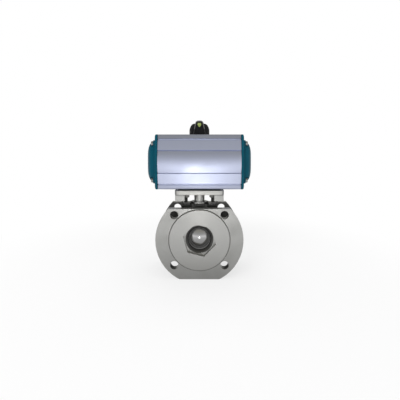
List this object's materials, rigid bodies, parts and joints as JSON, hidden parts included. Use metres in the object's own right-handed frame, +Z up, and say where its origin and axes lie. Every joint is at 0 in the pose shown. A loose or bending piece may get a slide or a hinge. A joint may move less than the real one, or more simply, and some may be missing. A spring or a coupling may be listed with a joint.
{
  "type": "actuated ball valve",
  "caption": "Compact flanged ball valve turned by a double-acting rack-and-pinion pneumatic actuator with a domed position indicator.",
  "frame": {"origin": "below the stem axis, level with the flat foot of the flanges", "axes": "+Z up along the stem axis; -Y out of the front flange, the side with the screwed-in body insert; X along the actuator's cylinder"},
  "size_m": [0.1908, 0.092, 0.284],
  "materials": {
    "cast_stainless": "blasted casting with turned faces",
    "turned_stainless": "fine turned",
    "polished_chrome": "polished",
    "ptfe": "smooth",
    "anodised_aluminium": "hard anodised, satin",
    "teal_enamel": "gloss powder coat",
    "cast_aluminium": "die cast, machined",
    "nickel_plated_steel": "nickel plated",
    "black_plastic": "satin gloss",
    "acetal": "smooth",
    "nitrile_rubber": "matt",
    "zinc_steel": "dark zinc plated",
    "screw_stainless": "machined"
  },
  "bodies": {
    "housing": {"valve_body": "cast_stainless", "body_insert": "turned_stainless", "insert_seal": "ptfe", "front_seat": "ptfe", "rear_seat": "ptfe", "stem_thrust_washer": "ptfe", "packing_ring_1": "ptfe", "packing_ring_2": "ptfe", "packing_ring_3": "ptfe", "gland_follower": "turned_stainless", "disc_spring_lower": "screw_stainless", "disc_spring_upper": "screw_stainless", "gland_nut": "screw_stainless", "mounting_stud_1": "zinc_steel", "mounting_stud_2": "zinc_steel", "mounting_stud_3": "zinc_steel", "mounting_stud_4": "zinc_steel", "mounting_nut_1": "zinc_steel", "mounting_nut_2": "zinc_steel", "mounting_nut_3": "zinc_steel", "mounting_nut_4": "zinc_steel", "centring_ring": "cast_aluminium", "actuator_body": "anodised_aluminium", "left_end_cap": "teal_enamel", "right_end_cap": "teal_enamel", "left_cap_seal": "nitrile_rubber", "right_cap_seal": "nitrile_rubber", "left_cap_screw_1": "screw_stainless", "left_cap_screw_2": "screw_stainless", "left_cap_screw_3": "screw_stainless", "left_cap_screw_4": "screw_stainless", "right_cap_screw_1": "screw_stainless", "right_cap_screw_2": "screw_stainless", "right_cap_screw_3": "screw_stainless", "right_cap_screw_4": "screw_stainless", "upper_pinion_bearing": "acetal", "lower_pinion_bearing": "acetal", "pinion_thrust_washer": "acetal", "closed_stop_screw": "screw_stainless", "open_stop_screw": "screw_stainless", "closed_stop_nut": "screw_stainless", "open_stop_nut": "screw_stainless"},
    "shaft": {"pinion": "nickel_plated_steel", "stop_cam": "nickel_plated_steel", "pinion_circlip": "zinc_steel", "position_indicator": "black_plastic", "indicator_insert": "black_plastic", "indicator_screw": "screw_stainless"},
    "stem_and_ball": {"stem": "turned_stainless", "ball": "polished_chrome"},
    "left_piston": {"left_piston": "cast_aluminium", "left_piston_seal": "nitrile_rubber", "left_piston_guide_band": "acetal", "left_rack_guide": "acetal"},
    "right_piston": {"right_piston": "cast_aluminium", "right_piston_seal": "nitrile_rubber", "right_piston_guide_band": "acetal", "right_rack_guide": "acetal"}
  },
  "joints": [
    {"name": "pinion_turn", "type": "hinge", "parent": "housing", "child": "shaft", "pos_m": [0, 0, 0.2064], "axis": [0, 0, 1], "range_deg": [0, 90]},
    {"name": "ball_turn", "type": "hinge", "parent": "housing", "child": "stem_and_ball", "pos_m": [0, 0, 0.069], "axis": [0, 0, 1], "range_deg": [0, 90]},
    {"name": "left_piston_stroke", "type": "slide", "parent": "housing", "child": "left_piston", "axis": [-1, 0, 0], "range_m": [0, 0.022]},
    {"name": "right_piston_stroke", "type": "slide", "parent": "housing", "child": "right_piston", "axis": [1, 0, 0], "range_m": [0, 0.022]}
  ],
  "couplings": [
    {"joint": "ball_turn", "follows": "pinion_turn", "ratio": 1},
    {"joint": "left_piston_stroke", "follows": "pinion_turn", "m_per_rad": 0.014},
    {"joint": "right_piston_stroke", "follows": "pinion_turn", "m_per_rad": 0.014}
  ]
}
